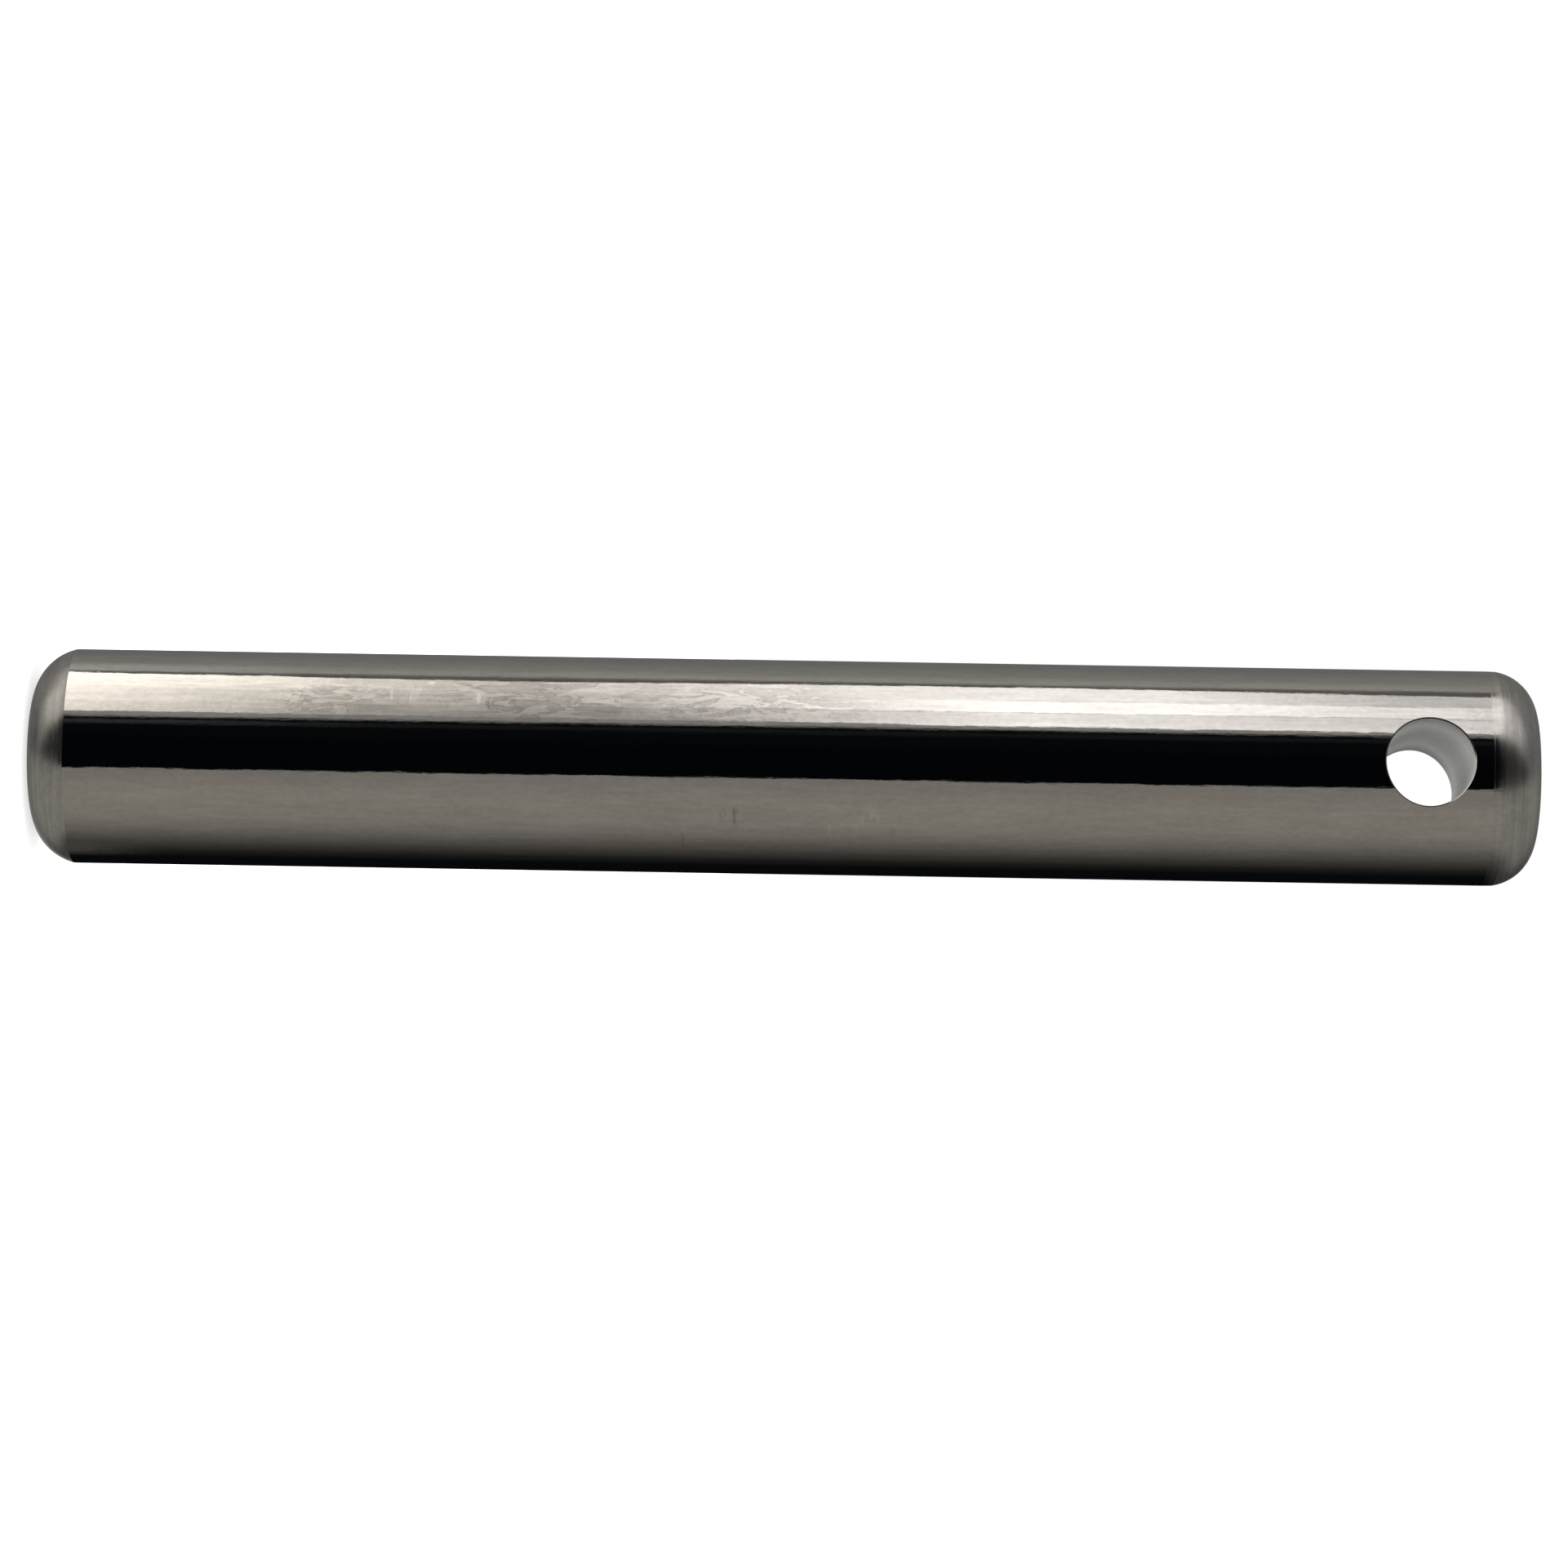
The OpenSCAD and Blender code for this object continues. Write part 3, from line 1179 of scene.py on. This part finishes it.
    def add_floor(self) -> None:
        """Lays a white floor that keeps the pin's shadow and stays out of its reflections."""
        reach, square = self.floor_reach, ((-1, -1), (1, -1), (1, 1), (-1, 1))
        corners = [(x * reach, y * reach, self.floor_drop) for x, y in square]
        mesh = bpy.data.meshes.new("floor")
        mesh.from_pydata(corners, [], [(0, 1, 2, 3)])
        floor = bpy.data.objects.new("floor", mesh)
        bpy.context.scene.collection.objects.link(floor)
        paper = bpy.data.materials.new("white_floor")
        paper.use_nodes = True
        desk = Desk(paper.node_tree)
        matte = desk.node("BsdfDiffuse", Color=(self.paper, self.paper, self.paper, 1))
        glow = desk.node("Emission", Color=(1, 1, 1, 1), Strength=self.floor_glow)
        both = desk.node("AddShader", n0=matte.outputs[0], n1=glow.outputs[0])
        out = desk.node("OutputMaterial")
        desk.put(both.outputs[0], out.inputs[0])
        mesh.materials.append(paper)
        floor.visible_glossy = False
        floor.visible_diffuse = False
        floor.visible_shadow = False

    def add_lamp(self) -> None:
        """Hangs one broad soft lamp over the pin, for the shadow at its foot."""
        data = bpy.data.lights.new("top_softbox", "AREA")
        data.shape = "SQUARE"
        data.size = self.lamp_size
        data.energy = self.lamp_power
        lamp = bpy.data.objects.new("top_softbox", data)
        lamp.location = (0, 0, self.lamp_height)
        lamp.visible_glossy = False
        bpy.context.scene.collection.objects.link(lamp)


def main() -> None:
    """Builds the pin and its studio, and reports each piece."""
    logging.basicConfig(level=logging.INFO, format="%(name)s: %(message)s")
    view = bpy.context.scene.view_settings
    view.view_transform = "Standard"
    studio = Studio()
    studio.add_camera()
    studio.add_room()
    studio.add_floor()
    studio.add_lamp()
    finishes = {
        Finish.GROUND: GroundFinish("ground_steel"),
        Finish.TURNED: TurnedFinish("turned_steel"),
        Finish.DRILLED: DrilledFinish("drilled_steel"),
    }
    pin_sizes = AxlePin.from_frame()
    pin = pin_sizes.build()
    pin_sizes.dress(pin, finishes)
    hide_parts("axle_pin")
    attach(pin, "root")
    log.info("%s: %d faces, %d vertices", pin.name, len(pin.data.polygons), len(pin.data.vertices))


if __name__ == "__main__":
    main()
